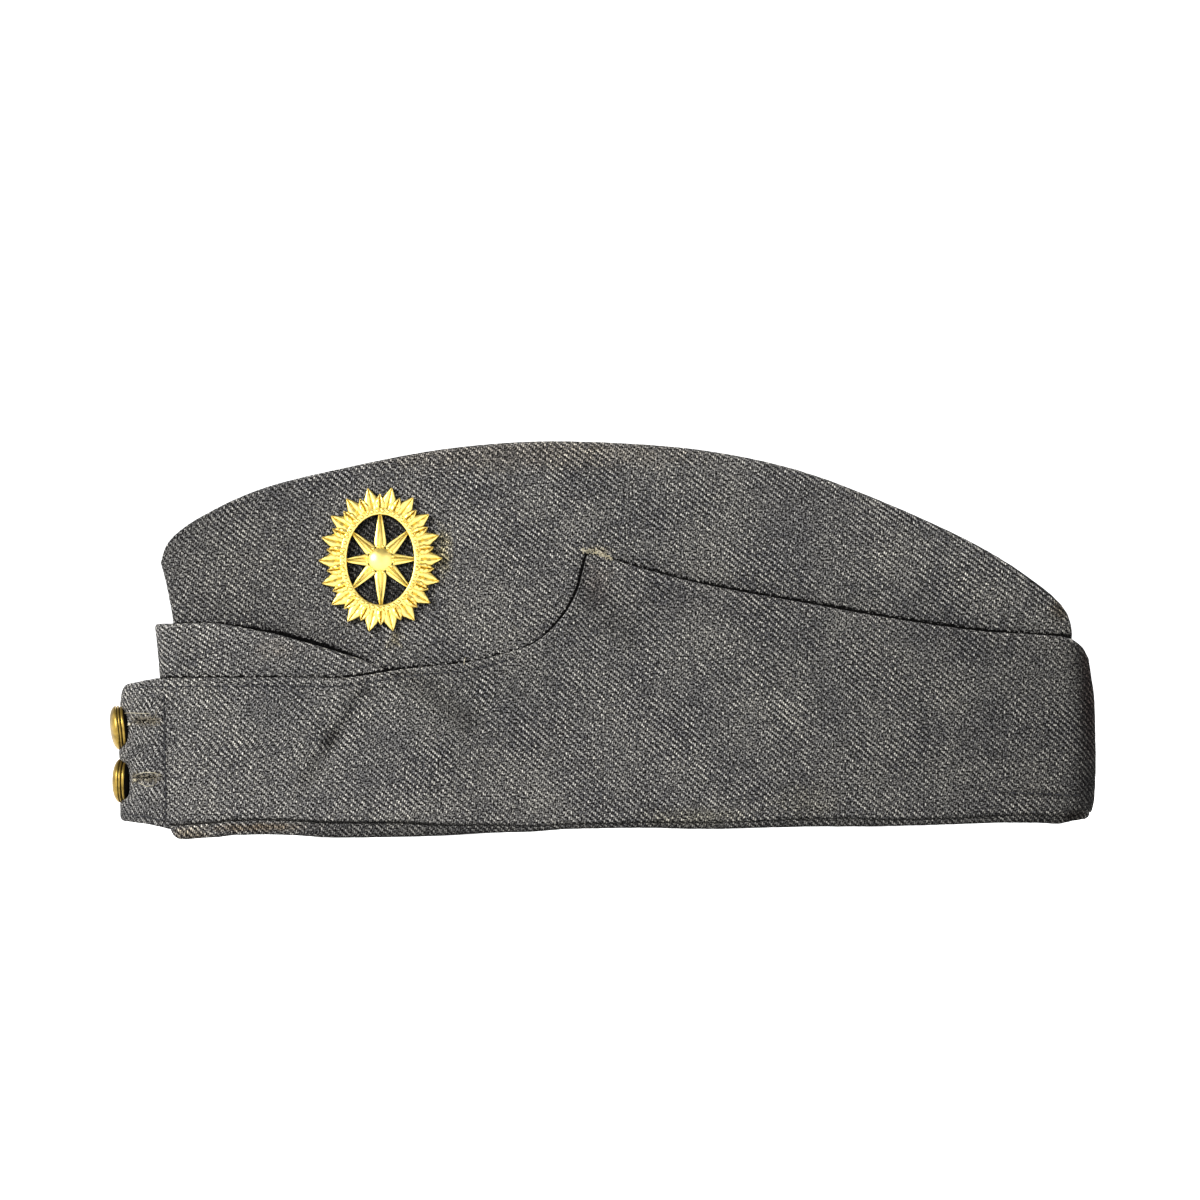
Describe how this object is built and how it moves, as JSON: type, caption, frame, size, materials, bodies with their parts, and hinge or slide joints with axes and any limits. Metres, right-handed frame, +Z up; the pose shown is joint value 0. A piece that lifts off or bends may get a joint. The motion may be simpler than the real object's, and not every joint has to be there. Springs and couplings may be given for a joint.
{
  "type": "garrison cap",
  "caption": "Folding wool field service cap with a turned-up curtain, front peak, two domed brass buttons and a pierced oval badge; worn on the head.",
  "frame": {"origin": "middle of the cap's own box, on the surface that it stands on", "axes": "+X from the front of the cap to its back, +Y to the wearer's right, +Z up; the badge side faces -Y"},
  "size_m": [0.2956, 0.06, 0.1175],
  "materials": {
    "serge_cloth": "blue-grey wool serge in 2/2 twill, matt, lightly worn",
    "button_brass": "aged brass with a brown patina in the grooves",
    "badge_gilding_metal": "polished gilding metal, dark in the recesses"
  },
  "bodies": {
    "root": {"crown_panel_left": "serge_cloth", "crown_panel_right": "serge_cloth", "crown_gusset": "serge_cloth", "peak": "serge_cloth", "curtain_left": "serge_cloth", "curtain_right": "serge_cloth", "button_upper": "button_brass", "button_lower": "button_brass", "badge": "badge_gilding_metal"}
  },
  "joints": []
}
